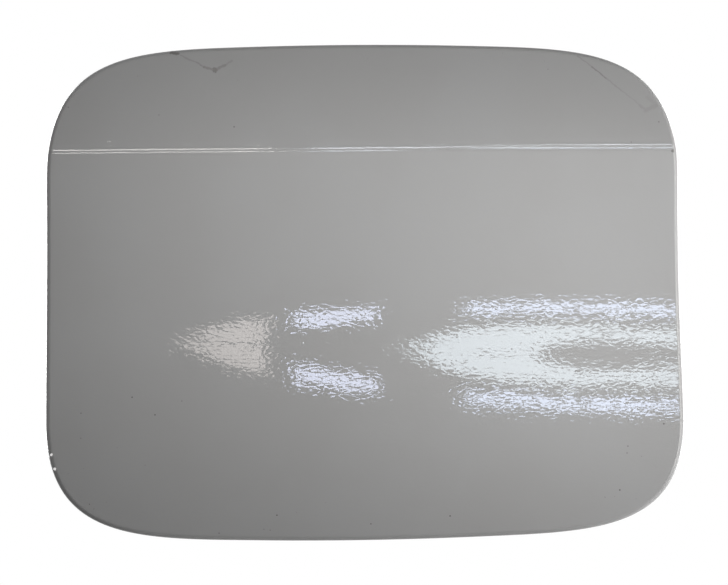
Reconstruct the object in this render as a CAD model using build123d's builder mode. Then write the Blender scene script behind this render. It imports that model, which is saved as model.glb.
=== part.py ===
import os
from math import acos, asin, atan2, cos, degrees, hypot, pi, radians, sin, tan

from build123d import *

# Car fuel door in millimetres. +X runs along the car, +Z is up and the outer face looks along -Y.
# The origin is the middle of the hinge base's two screw holes, on the face that meets the car.

# Outer panel: outline seen from outside, measured from the panel's centre
panel_width = 177.2
panel_height = 137.25
side_lean = 0.7
side_top_height = 30.4
side_foot_height = -34.5
edge_run = 29.5
edge_crown = 0.37
corner_top_reach = 34.4
corner_side_reach = 37.1
corner_foot_reach = 33.7
corner_bottom_reach = 34.2

# Outer panel: upright section, a crease with a hollow below it and a bulge low down
crease_height = 38.9
crease_radius = 4.5
upper_tilt = 9.0
upper_radius = 700.0
hollow_radius = 182.0
bulge_start_height = -15.4
bulge_start_tilt = 6.9
bulge_radius = 345.0
crown_radius = 1600.0

# Sheet and folded edge
panel_gauge = 1.1
inner_gauge = 0.9
edge_radius = 1.5
hem_width = 7.5
hem_gap = 0.6
sealer_width = 2.4
sealer_height = 0.9
sealer_seat = 0.1

# Inner panel: margins from the outer panel's edges to the pan, and from the pan's edges to what is on it
pan_hinge_margin = 22.6
pan_lock_margin = 12.6
pan_top_margin = 13.75
pan_corner_radius = 30.0
pan_depth = 13.0
pan_draft = 25.0
pan_edge_radius = 3.0
pan_root_radius = 2.5
bead_hinge_margin = 32.0
bead_lock_margin = 36.0
bead_top_margin = 16.0
bead_width = 10.0
bead_height = 2.2
bead_edge_radius = 1.2
drain_radius = 3.5
drain_hinge_margin = 25.0
drain_top_margin = 16.0

# Hinge axis, seen from the panel and from the car
hinge_inset = 13.0
hinge_setback = 15.4
hinge_height = -4.0
pin_standoff = 22.6
pin_reach = 36.0

# Hinge pin, bushes, washers and retaining ring
pin_radius = 2.5
pin_head_overhang = 1.7
pin_head_height = 1.8
pin_head_round = 0.8
pin_tail = 1.6
pin_chamfer = 0.5
running_clearance = 0.05
end_clearance = 0.3
bush_wall = 1.2
bush_flange_width = 1.25
bush_flange_height = 1.0
washer_width = 2.6
washer_height = 0.6
ring_overhang = 1.9
ring_height = 0.8
ring_gap = 3.2
groove_depth = 0.6

# Hinge leaf on the door
leaf_gauge = 2.0
leaf_start = 20.0
leaf_length = 36.0
leaf_width = 50.0
lug_wall = 1.7
lug_tail_height = 3.4
bend_radius = 1.6
bend_relief = 1.5
leaf_window_height = 20.0
leaf_window_width = 10.0
leaf_rivet_side = 6.0
leaf_rivet_start = 8.0
leaf_rivet_end = 6.0

# Hinge base on the car
base_gauge = 2.0
base_corner_radius = 7.0
ear_wall = 2.7
ear_foot_length = 22.0
ear_heel_height = 4.0
screw_hole_radius = 3.2
screw_pitch = 24.0
screw_side = 6.7
screw_end = 7.8

# Torsion spring and the sleeve inside it
wire_radius = 0.8
sleeve_wall = 1.0
spring_clearance = 0.3
coil_spacing = 2.1
spring_full_turns = 4
spring_start_height = -6.0
leaf_leg_length = 30.0
leg_hole_clearance = 0.3

# Rivets
rivet_radius = 2.0
rivet_head_radius = 3.6
rivet_head_height = 1.3
rivet_tail_radius = 3.0
rivet_tail_height = 1.0

# Lock eye
eye_lock_margin = 10.0
eye_gauge = 1.6
eye_width = 18.0
eye_foot_length = 17.0
eye_height = 22.0
eye_corner_radius = 5.0
eye_slot_width = 9.0
eye_slot_height = 11.0
eye_slot_rise = 5.5
eye_slot_radius = 2.0
eye_rivet_pitch = 9.0
eye_rivet_end = 6.5

# Rubber buffers
buffer_lock_margin = 18.0
buffer_top_margin = 22.0
buffer_radius = 5.5
buffer_height = 6.5
buffer_crown = 2.5
buffer_neck_radius = 3.0
buffer_barb_radius = 4.2
buffer_barb_height = 3.6
buffer_tip_radius = 1.6

# Filler cap holder
holder_reach = 16.0
holder_width = 19.0
holder_length = 34.0
holder_floor = 2.6
holder_arm = 3.0
holder_height = 20.0
holder_lip = 1.8
holder_lip_height = 3.0
holder_mouth_bevel = 8.0
holder_corner_radius = 2.5
post_radius = 3.0
post_pitch = 20.0
post_barb = 0.6
post_barb_height = 3.2
post_slit = 1.4

# Plugs in the drain holes
plug_overhang = 2.0
plug_head_height = 1.4
plug_skirt_wall = 1.0
plug_skirt_height = 3.0

seat_clearance = 0.05
cut_margin = 6.0
round_share = 0.48
upright_limit = 0.05

# Sizes and places worked out from the values above
hem_thickness = 2 * panel_gauge + inner_gauge
pin_x = -pin_reach
pin_y = -pin_standoff
panel_x = pin_x + panel_width / 2 - hinge_inset
panel_y = pin_y - hinge_setback
panel_z = -hinge_height
pan_width = panel_width - pan_hinge_margin - pan_lock_margin
pan_height = panel_height - 2 * pan_top_margin
pan_shift = (pan_hinge_margin - pan_lock_margin) / 2
pan_hinge_x = pan_shift - pan_width / 2
pan_lock_x = pan_shift + pan_width / 2
pan_back_y = panel_y + pan_depth
pan_flare = cut_margin * tan(radians(pan_draft))
leaf_start_x = pin_x + leaf_start
leaf_end_x = leaf_start_x + leaf_length
leaf_back_y = pan_back_y + leaf_gauge
bush_radius = pin_radius + running_clearance + bush_wall
lug_radius = bush_radius + lug_wall
lug_outer_z = leaf_width / 2
lug_inner_z = lug_outer_z - leaf_gauge
ear_radius = pin_radius + ear_wall
ear_outer_z = lug_inner_z - bush_flange_height - end_clearance
ear_inner_z = ear_outer_z - base_gauge
base_start_x = pin_x - ear_radius
washer_z = lug_outer_z + end_clearance
pin_head_z = washer_z + washer_height
sleeve_radius = pin_radius + running_clearance + sleeve_wall
coil_radius = sleeve_radius + spring_clearance + wire_radius
eye_x = panel_x + pan_lock_x - eye_lock_margin
holder_x = panel_x + holder_reach
section_reach = panel_height / 2 + cut_margin
crown_reach = panel_width / 2 + cut_margin
section_depth = 3 * pan_depth
trim_depth = 2 * pan_depth

# Planes seen from outside: local x to the right, local y up, normal towards the viewer
panel_plane = Plane(origin=(panel_x, panel_y, panel_z), x_dir=(1, 0, 0), z_dir=(0, -1, 0))
fitting_plane = Plane(origin=(panel_x, pan_back_y, 0), x_dir=(1, 0, 0), z_dir=(0, -1, 0))
mount_plane = Plane(origin=(0, 0, 0), x_dir=(1, 0, 0), z_dir=(0, -1, 0))

# Places of the fasteners, plugs and buffers on the fitting plane
leaf_rivet_z = lug_inner_z - leaf_rivet_side
leaf_rivet_places = [
    (x - panel_x, z)
    for x in (leaf_start_x + leaf_rivet_start, leaf_end_x - leaf_rivet_end)
    for z in (-leaf_rivet_z, leaf_rivet_z)
]
eye_rivet_x = eye_x - panel_x - eye_foot_length + eye_rivet_end
eye_rivet_places = [(eye_rivet_x, z) for z in (-eye_rivet_pitch / 2, eye_rivet_pitch / 2)]
post_places = [(holder_reach, z) for z in (-post_pitch / 2, post_pitch / 2)]
buffer_rise = pan_height / 2 - buffer_top_margin
buffer_places = [(pan_lock_x - buffer_lock_margin, panel_z + z) for z in (buffer_rise, -buffer_rise)]
drain_rise = pan_height / 2 - drain_top_margin
drain_places = [(pan_hinge_x + drain_hinge_margin, panel_z + z) for z in (drain_rise, -drain_rise)]
bead_rise = pan_height / 2 - bead_top_margin
bead_length = pan_width - bead_hinge_margin - bead_lock_margin
bead_middle_x = pan_hinge_x + bead_hinge_margin + bead_length / 2
bead_places = [(bead_middle_x, panel_z + z) for z in (bead_rise, -bead_rise)]

os.makedirs("parts", exist_ok=True)


def panel_outline(plane, inset):
    half_width = panel_width / 2 - inset
    half_height = panel_height / 2 - inset
    share_x = (half_width - edge_run) / (panel_width / 2 - edge_run)
    share_top = (half_height - side_top_height) / (panel_height / 2 - side_top_height)
    share_foot = (half_height + side_foot_height) / (panel_height / 2 + side_foot_height)
    edge_height = half_height - edge_crown
    with BuildSketch(plane) as sketch:
        with BuildLine():
            top = ThreePointArc((-edge_run, edge_height), (0, half_height), (edge_run, edge_height))
            right = Line((half_width - side_lean, side_top_height), (half_width, side_foot_height))
            bottom = ThreePointArc((edge_run, -edge_height), (0, -half_height), (-edge_run, -edge_height))
            left = Line((-half_width, side_foot_height), (side_lean - half_width, side_top_height))
            for start, finish, leave, arrive in (
                (top, right, corner_top_reach * share_x, corner_side_reach * share_top),
                (right, bottom, corner_foot_reach * share_foot, corner_bottom_reach * share_x),
                (bottom, left, corner_bottom_reach * share_x, corner_foot_reach * share_foot),
                (left, top, corner_side_reach * share_top, corner_top_reach * share_x),
            ):
                Bezier(start @ 1, start @ 1 + start % 1 * leave, finish @ 0 - finish % 0 * arrive, finish @ 0)
        make_face()
    return sketch.sketch


def behind_surface(depth):
    # Everything behind the outer surface moved in by depth, before an outline trims it
    lean = asin(crown_reach / crown_radius)
    crown_centre = (panel_x, panel_y + crown_radius, panel_z)
    start = (panel_x - crown_reach, panel_y + crown_radius * (1 - cos(lean)), panel_z)
    inward = Vector(sin(lean), cos(lean), 0)
    plane = Plane(origin=start, x_dir=inward, z_dir=inward.cross(Vector(0, 0, 1)))
    start_tilt = radians(bulge_start_tilt)
    crease_tilt = asin(sin(start_tilt) - (crease_height - bulge_start_height) / hollow_radius)
    rise = section_reach - crease_height
    drop = section_reach + bulge_start_height
    with BuildPart() as solid:
        with BuildSketch(plane) as section:
            with BuildLine():
                upper = JernArc(
                    start=(0, crease_height),
                    tangent=(sin(radians(upper_tilt)), cos(radians(upper_tilt))),
                    radius=upper_radius,
                    arc_size=-degrees(rise / upper_radius),
                )
                hollow = JernArc(
                    start=(0, crease_height),
                    tangent=(-sin(crease_tilt), -cos(crease_tilt)),
                    radius=hollow_radius,
                    arc_size=-degrees(start_tilt - crease_tilt),
                )
                bulge = JernArc(
                    start=hollow @ 1,
                    tangent=hollow % 1,
                    radius=bulge_radius,
                    arc_size=degrees(drop / bulge_radius),
                )
                Polyline(
                    upper @ 1,
                    (section_depth, (upper @ 1).Y),
                    (section_depth, (bulge @ 1).Y),
                    bulge @ 1,
                )
            make_face()
            fillet(section.vertices().sort_by_distance((0, crease_height))[0], radius=crease_radius)
            if depth > 0:
                offset(amount=-depth)
        revolve(axis=Axis(crown_centre, (0, 0, 1)), revolution_arc=2 * degrees(lean))
    return solid.part


def behind_skin(depth, inset):
    # What lies deeper than depth behind the outer surface, inside the outline moved in by inset
    deeper = behind_surface(depth)
    outline = panel_outline(panel_plane.offset(cut_margin), inset)
    with BuildPart() as inside:
        add(deeper)
        extrude(outline, amount=-cut_margin - trim_depth, mode=Mode.INTERSECT)
    return inside.part


def sheet_layer(front_depth, back_depth, inset):
    # A sheet that follows the outer surface between two depths
    front = behind_skin(front_depth, inset)
    back = behind_surface(back_depth)
    with BuildPart() as layer:
        add(front)
        add(back, mode=Mode.SUBTRACT)
    return layer.part


def pan_form(wall, depth, back_radius):
    # The drafted pan with its mouth moved in by wall, running on past the skin to cut_margin in front of the panel
    spread = pan_flare - wall
    with BuildPart() as form:
        with BuildSketch(panel_plane.offset(cut_margin)):
            with Locations((pan_shift, 0)):
                RectangleRounded(pan_width + 2 * spread, pan_height + 2 * spread, pan_corner_radius + spread)
        extrude(amount=-cut_margin - depth, taper=pan_draft)
        fillet(form.faces().sort_by(Axis.Y)[-1].edges(), radius=back_radius)
    return form.part


def bead_form(wall, height, edge):
    # Two long stiffening beads that stand out of the pan's back
    with BuildPart() as form:
        with BuildSketch(fitting_plane.offset(inner_gauge)):
            with Locations(*bead_places):
                SlotOverall(bead_length - 2 * wall, bead_width - 2 * wall)
        extrude(amount=-inner_gauge - height)
        fillet(form.faces().group_by(Axis.Y)[-1].edges(), radius=edge)
    return form.part


def turned(place, half_section):
    # A piece turned about the Y axis at a place on the fitting plane. Its half section is given as radius and
    # depth: a crown from the axis to its foot, then straight lines back to the axis
    x, z = place
    centre = (panel_x + x, pan_back_y, z)
    apex, crown_foot, *corners = half_section
    with BuildPart() as piece:
        with BuildSketch(Plane(origin=centre, x_dir=(1, 0, 0), z_dir=(0, 0, 1))):
            with BuildLine():
                TangentArc(apex, crown_foot, tangent=(1, 0))
                Polyline(crown_foot, *corners, (0, corners[-1][1]), apex)
            make_face()
        revolve(axis=Axis(centre, (0, 1, 0)))
    return piece.part


def rivet(place, sheet):
    grip = -inner_gauge
    half_section = [
        (0, sheet + rivet_head_height),
        (rivet_head_radius, sheet),
        (rivet_radius, sheet),
        (rivet_radius, grip),
        (rivet_tail_radius, grip),
        (rivet_tail_radius, grip - rivet_tail_height),
    ]
    return turned(place, half_section)


def buffer(place):
    grip = -inner_gauge
    neck = buffer_neck_radius - seat_clearance
    half_section = [
        (0, buffer_height),
        (buffer_radius, buffer_height - buffer_crown),
        (buffer_radius, 0),
        (neck, 0),
        (neck, grip),
        (buffer_barb_radius, grip),
        (buffer_tip_radius, grip - buffer_barb_height),
    ]
    return turned(place, half_section)


def plug(place):
    skirt = drain_radius - seat_clearance
    half_section = [
        (0, plug_head_height),
        (drain_radius + plug_overhang, 0),
        (skirt, 0),
        (skirt, -plug_skirt_height),
        (skirt - plug_skirt_wall, -plug_skirt_height),
        (skirt - plug_skirt_wall, 0),
    ]
    return turned(place, half_section)


def disc(start_z, height, radius, bore):
    # A round piece on the hinge axis
    with BuildPart() as piece:
        with BuildSketch(Plane.XY.offset(start_z)):
            with Locations((pin_x, pin_y)):
                Circle(radius)
                if bore > 0:
                    Circle(bore, mode=Mode.SUBTRACT)
        extrude(amount=height)
    return piece.part


# Outer panel: skin, rounded edge and the lip folded back over the inner panel's flange
hem_block = sheet_layer(0, hem_thickness, 0)
flange_slot = sheet_layer(panel_gauge, panel_gauge + inner_gauge, panel_gauge)
lip_window = behind_skin(panel_gauge, hem_width)
with BuildPart() as outer_panel:
    add(hem_block)
    walls = outer_panel.faces().filter_by(lambda face: abs(face.normal_at().Y) < upright_limit)
    rim = walls.edges().filter_by(Axis.Y, reverse=True)
    fillet(rim, radius=min(edge_radius, round_share * hem_thickness))
    add(flange_slot, mode=Mode.SUBTRACT)
    add(lip_window, mode=Mode.SUBTRACT)
outer_panel.part.label = "outer_panel"
export_step(outer_panel.part, "parts/outer_panel.step")

# Inner panel: flange in the hem, drafted pan with stiffening beads, and holes for the fittings
flange_sheet = sheet_layer(panel_gauge, panel_gauge + inner_gauge, panel_gauge + hem_gap)
pan_outside = pan_form(0, pan_depth, pan_edge_radius)
slant_gauge = inner_gauge / cos(radians(pan_draft))
pan_inside = pan_form(slant_gauge, pan_depth - inner_gauge, pan_edge_radius - inner_gauge)
bead_outside = bead_form(0, bead_height, bead_edge_radius)
bead_inside = bead_form(inner_gauge, bead_height - inner_gauge, bead_edge_radius / 2)
with BuildPart() as inner_panel:
    add(pan_outside)
    add(behind_surface(panel_gauge), mode=Mode.INTERSECT)
    add(flange_sheet)
    fillet(inner_panel.edges(Select.NEW), radius=pan_root_radius)
    add(pan_inside, mode=Mode.SUBTRACT)
    fillet(inner_panel.edges(Select.NEW), radius=pan_root_radius + inner_gauge)
    add(bead_outside)
    add(bead_inside, mode=Mode.SUBTRACT)
    with BuildSketch(fitting_plane):
        with Locations(*leaf_rivet_places, *eye_rivet_places):
            Circle(rivet_radius)
        with Locations(*post_places):
            Circle(post_radius)
        with Locations(*buffer_places):
            Circle(buffer_neck_radius)
        with Locations(*drain_places):
            Circle(drain_radius)
    extrude(amount=inner_gauge, mode=Mode.SUBTRACT)
inner_panel.part.label = "inner_panel"
export_step(inner_panel.part, "parts/inner_panel.step")

# Seam sealer: a bead against the lip's edge, on the flange's back
flange_back = panel_gauge + inner_gauge
sealer_outside = sheet_layer(flange_back + sealer_seat, flange_back + sealer_height, hem_width)
sealer_inside = behind_skin(panel_gauge, hem_width + sealer_width)
with BuildPart() as hem_sealer:
    add(sealer_outside)
    add(sealer_inside, mode=Mode.SUBTRACT)
hem_sealer.part.label = "hem_sealer"
export_step(hem_sealer.part, "parts/hem_sealer.step")

# Hinge leaf: a shallow channel riveted to the pan, whose sides run on as two lugs that carry the bushes
bend_end_y = leaf_back_y + bend_radius
lug_top_y = pin_y + lug_radius
channel_height = 2 * (lug_top_y - pan_back_y)
with BuildPart() as hinge_leaf:
    with BuildSketch(Plane(origin=(leaf_start_x, pan_back_y, 0), x_dir=(0, 1, 0), z_dir=(1, 0, 0))):
        with Locations((channel_height, 0)):
            RectangleRounded(2 * channel_height, leaf_width, bend_radius + leaf_gauge)
        with Locations((channel_height + leaf_gauge, 0)):
            RectangleRounded(2 * channel_height, 2 * lug_inner_z, bend_radius, mode=Mode.SUBTRACT)
    extrude(amount=leaf_length)
    with BuildSketch(Plane.XY.offset(-lug_outer_z), Plane.XY.offset(lug_inner_z)):
        with Locations((pin_x, pin_y)):
            Circle(lug_radius)
        Polygon(
            (pin_x, pan_back_y),
            (leaf_start_x - bend_relief, pan_back_y),
            (leaf_start_x - bend_relief, bend_end_y),
            (leaf_end_x, bend_end_y),
            (leaf_end_x, lug_top_y),
            (pin_x, lug_top_y),
            align=None,
        )
    extrude(amount=leaf_gauge)
    with BuildSketch(Plane.XY.offset(-lug_outer_z)):
        Polygon(
            (pin_x, lug_top_y),
            (leaf_end_x, leaf_back_y + lug_tail_height),
            (leaf_end_x, pan_back_y + channel_height * 2),
            (pin_x, pan_back_y + channel_height * 2),
            align=None,
        )
    extrude(amount=leaf_width, mode=Mode.SUBTRACT)
    with BuildSketch(fitting_plane):
        with Locations((leaf_start_x + leaf_length / 2 - panel_x, 0)):
            SlotOverall(leaf_window_height, leaf_window_width, rotation=90)
        with Locations(*leaf_rivet_places):
            Circle(rivet_radius)
    extrude(amount=-leaf_gauge, mode=Mode.SUBTRACT)
    add(disc(-lug_outer_z, leaf_width, bush_radius, 0), mode=Mode.SUBTRACT)
hinge_leaf.part.label = "hinge_leaf"
export_step(hinge_leaf.part, "parts/hinge_leaf.step")

with BuildPart() as leaf_rivets:
    for place in leaf_rivet_places:
        add(rivet(place, leaf_gauge))
leaf_rivets.part.label = "leaf_rivets"
export_step(leaf_rivets.part, "parts/leaf_rivets.step")

# Bushes: a sleeve in each lug, with its flange between the lug and the base's ear
pin_bore = pin_radius + running_clearance
flange_radius = bush_radius + bush_flange_width
with BuildPart() as bush_upper:
    add(disc(lug_inner_z, leaf_gauge, bush_radius, pin_bore))
    add(disc(lug_inner_z, -bush_flange_height, flange_radius, pin_bore))
bush_upper.part.label = "bush_upper"
export_step(bush_upper.part, "parts/bush_upper.step")

with BuildPart() as bush_lower:
    add(disc(-lug_inner_z, -leaf_gauge, bush_radius, pin_bore))
    add(disc(-lug_inner_z, bush_flange_height, flange_radius, pin_bore))
bush_lower.part.label = "bush_lower"
export_step(bush_lower.part, "parts/bush_lower.step")

# Lock eye: angle bracket with a slot for the car's lock bolt
with BuildPart() as lock_eye:
    eye_end_x = eye_x - eye_foot_length
    eye_top_y = pan_back_y + eye_height
    bend_corner = (eye_x, pan_back_y)
    inner_corner = (eye_x - eye_gauge, pan_back_y + eye_gauge)
    with BuildSketch(Plane.XY.offset(-eye_width / 2)) as angle:
        Polygon(
            (eye_end_x, pan_back_y),
            bend_corner,
            (eye_x, eye_top_y),
            (eye_x - eye_gauge, eye_top_y),
            inner_corner,
            (eye_end_x, pan_back_y + eye_gauge),
            align=None,
        )
        fillet(angle.vertices().sort_by_distance(bend_corner)[0], radius=bend_radius + eye_gauge)
        fillet(angle.vertices().sort_by_distance(inner_corner)[0], radius=bend_radius)
    extrude(amount=eye_width)
    with BuildSketch(Plane.YZ.offset(eye_x)):
        with Locations((pan_back_y + eye_slot_rise + eye_slot_height / 2, 0)):
            RectangleRounded(eye_slot_height, eye_slot_width, eye_slot_radius)
    extrude(amount=-eye_gauge, mode=Mode.SUBTRACT)
    with BuildSketch(fitting_plane):
        with Locations(*eye_rivet_places):
            Circle(rivet_radius)
    extrude(amount=-eye_gauge, mode=Mode.SUBTRACT)
    tab_corners = lock_eye.faces().sort_by(Axis.Y)[-1].edges().filter_by(Axis.X)
    foot_corners = lock_eye.faces().sort_by(Axis.X)[0].edges().filter_by(Axis.Y)
    fillet(tab_corners + foot_corners, radius=min(eye_corner_radius, round_share * eye_width))
lock_eye.part.label = "lock_eye"
export_step(lock_eye.part, "parts/lock_eye.step")

with BuildPart() as lock_eye_rivets:
    for place in eye_rivet_places:
        add(rivet(place, eye_gauge))
lock_eye_rivets.part.label = "lock_eye_rivets"
export_step(lock_eye_rivets.part, "parts/lock_eye_rivets.step")

# Cap holder: a fork closed at its foot, with lips that keep the filler cap's grip in, and two snap posts
post_section = [
    (0, seat_clearance),
    (post_radius - seat_clearance, 0),
    (post_radius - seat_clearance, -inner_gauge),
    (post_radius + post_barb, -inner_gauge),
    (post_radius - post_barb, -inner_gauge - post_barb_height),
]
with BuildPart() as cap_holder:
    with BuildSketch(fitting_plane):
        with Locations((holder_reach, 0)):
            RectangleRounded(holder_width, holder_length, holder_corner_radius)
    extrude(amount=-holder_height)
    with BuildSketch(fitting_plane.offset(-holder_floor)):
        with Locations((holder_reach, holder_arm)):
            Rectangle(holder_width - 2 * holder_arm, holder_length)
    extrude(amount=holder_floor + holder_lip_height - holder_height, mode=Mode.SUBTRACT)
    with BuildSketch(fitting_plane.offset(holder_lip_height - holder_height)):
        with Locations((holder_reach, holder_arm + holder_lip)):
            Rectangle(holder_width - 2 * holder_arm - 2 * holder_lip, holder_length)
    extrude(amount=-holder_lip_height, mode=Mode.SUBTRACT)
    mouth_y = pan_back_y + holder_height
    mouth_z = holder_length / 2
    with BuildSketch(Plane.YZ.offset(holder_x)):
        Polygon(
            (mouth_y - holder_mouth_bevel, mouth_z),
            (mouth_y, mouth_z),
            (mouth_y, mouth_z - holder_mouth_bevel),
            align=None,
        )
    extrude(amount=holder_width / 2, both=True, mode=Mode.SUBTRACT)
    for place in post_places:
        add(turned(place, post_section))
    with BuildSketch(fitting_plane):
        with Locations(*post_places):
            Rectangle(post_slit, 2 * (post_radius + post_barb))
    extrude(amount=inner_gauge + post_barb_height, mode=Mode.SUBTRACT)
cap_holder.part.label = "cap_holder"
export_step(cap_holder.part, "parts/cap_holder.step")

with BuildPart() as buffer_upper:
    add(buffer(buffer_places[0]))
buffer_upper.part.label = "buffer_upper"
export_step(buffer_upper.part, "parts/buffer_upper.step")

with BuildPart() as buffer_lower:
    add(buffer(buffer_places[1]))
buffer_lower.part.label = "buffer_lower"
export_step(buffer_lower.part, "parts/buffer_lower.step")

with BuildPart() as drain_plugs:
    for place in drain_places:
        add(plug(place))
drain_plugs.part.label = "drain_plugs"
export_step(drain_plugs.part, "parts/drain_plugs.step")

# Torsion spring: one leg goes back into the base, and the other ends three quarters of a turn further round,
# tilted so that its tip lies on the leaf's back
leg_tip_y = leaf_back_y + wire_radius + seat_clearance - pin_y
leg_tilt = acos(leg_tip_y / hypot(coil_radius, leaf_leg_length)) - atan2(leaf_leg_length, coil_radius)
spring_turns = spring_full_turns + 3 / 4 + leg_tilt / (2 * pi)
base_leg_length = pin_standoff
with BuildPart() as torsion_spring:
    with BuildLine(Plane(origin=(pin_x, pin_y, spring_start_height))) as coil:
        Helix(coil_spacing, coil_spacing * spring_turns, coil_radius, lefthand=True)
    with BuildSketch(Plane(origin=coil.line @ 0, z_dir=coil.line % 0)):
        Circle(wire_radius)
    sweep(path=coil.line, is_frenet=True)
    base_end, leaf_end = torsion_spring.faces().filter_by(GeomType.PLANE).sort_by(Axis.Z)
    extrude(base_end, amount=base_leg_length)
    extrude(leaf_end, amount=leaf_leg_length)
torsion_spring.part.label = "torsion_spring"
export_step(torsion_spring.part, "parts/torsion_spring.step")

# Hinge base: a channel cut back to two ears, and a tab with the screw holes
base_leg_drop = base_leg_length * coil_spacing / hypot(coil_spacing, 2 * pi * coil_radius)
ear_foot_x = base_start_x + ear_foot_length
ear_height = pin_standoff + 2 * ear_radius
tab_length = screw_end - base_start_x
with BuildPart() as hinge_base:
    with BuildSketch(Plane(origin=(base_start_x, 0, 0), x_dir=(0, 1, 0), z_dir=(1, 0, 0))):
        with Locations((-ear_height, 0)):
            RectangleRounded(2 * ear_height, 2 * ear_outer_z, bend_radius + base_gauge)
        with Locations((-ear_height - base_gauge, 0)):
            RectangleRounded(2 * ear_height, 2 * ear_inner_z, bend_radius, mode=Mode.SUBTRACT)
    extrude(amount=ear_foot_length)
    with BuildSketch(Plane.XY.offset(-ear_outer_z)):
        with Locations((pin_x, pin_y)):
            Circle(ear_radius)
        Polygon(
            (base_start_x, pin_y),
            (pin_x + ear_radius, pin_y),
            (ear_foot_x, -base_gauge - ear_heel_height),
            (ear_foot_x, 0),
            (base_start_x, 0),
            align=None,
        )
    extrude(amount=2 * ear_outer_z, mode=Mode.INTERSECT)
    with BuildSketch(mount_plane) as tab:
        with Locations((base_start_x + tab_length / 2, 0)):
            Rectangle(tab_length, screw_pitch + 2 * screw_side)
        fillet(tab.vertices().group_by(Axis.X)[-1], radius=base_corner_radius)
    extrude(amount=base_gauge)
    with BuildSketch(mount_plane):
        with Locations((0, screw_pitch / 2), (0, -screw_pitch / 2)):
            Circle(screw_hole_radius)
        with Locations((pin_x + coil_radius, spring_start_height - base_leg_drop)):
            Circle(wire_radius + leg_hole_clearance)
    extrude(amount=base_gauge, mode=Mode.SUBTRACT)
    add(disc(-ear_outer_z, 2 * ear_outer_z, pin_radius, 0), mode=Mode.SUBTRACT)
hinge_base.part.label = "hinge_base"
export_step(hinge_base.part, "parts/hinge_base.step")

# Hinge pin: headed above the upper washer, with a groove for the ring below the lower one
pin_foot_z = -pin_head_z - ring_height - pin_tail
with BuildPart() as hinge_pin:
    add(disc(pin_foot_z, pin_head_z - pin_foot_z, pin_radius, 0))
    add(disc(pin_head_z, pin_head_height, pin_radius + pin_head_overhang, 0))
    fillet(hinge_pin.faces().sort_by(Axis.Z)[-1].edges(), radius=pin_head_round)
    chamfer(hinge_pin.faces().sort_by(Axis.Z)[0].edges(), length=pin_chamfer)
    add(disc(-pin_head_z, -ring_height, pin_radius, pin_radius - groove_depth), mode=Mode.SUBTRACT)
hinge_pin.part.label = "hinge_pin"
export_step(hinge_pin.part, "parts/hinge_pin.step")

with BuildPart() as pin_ring:
    add(disc(-pin_head_z, -ring_height, pin_radius + ring_overhang, pin_radius - groove_depth))
    with BuildSketch(Plane.XY.offset(-pin_head_z)):
        with Locations((pin_x + pin_radius, pin_y)):
            Rectangle(2 * pin_radius, ring_gap)
    extrude(amount=-ring_height, mode=Mode.SUBTRACT)
pin_ring.part.label = "pin_ring"
export_step(pin_ring.part, "parts/pin_ring.step")

with BuildPart() as washer_upper:
    add(disc(washer_z, washer_height, pin_radius + washer_width, pin_bore))
washer_upper.part.label = "washer_upper"
export_step(washer_upper.part, "parts/washer_upper.step")

with BuildPart() as washer_lower:
    add(disc(-washer_z, -washer_height, pin_radius + washer_width, pin_bore))
washer_lower.part.label = "washer_lower"
export_step(washer_lower.part, "parts/washer_lower.step")

with BuildPart() as spring_sleeve:
    sleeve_half = ear_inner_z - seat_clearance
    add(disc(-sleeve_half, 2 * sleeve_half, sleeve_radius, pin_bore))
spring_sleeve.part.label = "spring_sleeve"
export_step(spring_sleeve.part, "parts/spring_sleeve.step")
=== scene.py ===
import math
import random

import bpy
from mathutils import Matrix, Vector


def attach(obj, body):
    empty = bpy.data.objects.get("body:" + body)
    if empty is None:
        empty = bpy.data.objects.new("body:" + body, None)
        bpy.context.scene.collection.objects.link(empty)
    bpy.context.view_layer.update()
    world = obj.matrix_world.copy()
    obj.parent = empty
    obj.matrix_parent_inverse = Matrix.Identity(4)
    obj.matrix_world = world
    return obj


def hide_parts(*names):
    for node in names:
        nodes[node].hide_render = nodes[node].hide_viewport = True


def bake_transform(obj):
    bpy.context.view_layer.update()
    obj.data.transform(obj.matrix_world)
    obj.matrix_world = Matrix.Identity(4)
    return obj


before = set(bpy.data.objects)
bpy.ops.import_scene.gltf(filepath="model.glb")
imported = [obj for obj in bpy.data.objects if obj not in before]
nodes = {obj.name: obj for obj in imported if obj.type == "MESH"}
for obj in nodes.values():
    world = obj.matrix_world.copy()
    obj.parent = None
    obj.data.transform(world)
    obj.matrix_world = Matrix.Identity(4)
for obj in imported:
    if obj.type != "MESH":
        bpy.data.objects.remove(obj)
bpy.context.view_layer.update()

# Car fuel door: painted outer panel, stamped inner panel, spring hinge and fittings. Values are in millimetres
# or degrees unless a note says otherwise, and the scene is in metres.
mm = 0.001
scene = bpy.context.scene
scene.view_settings.view_transform = "Standard"
print("frame loaded:", len(nodes), "solids")


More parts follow.
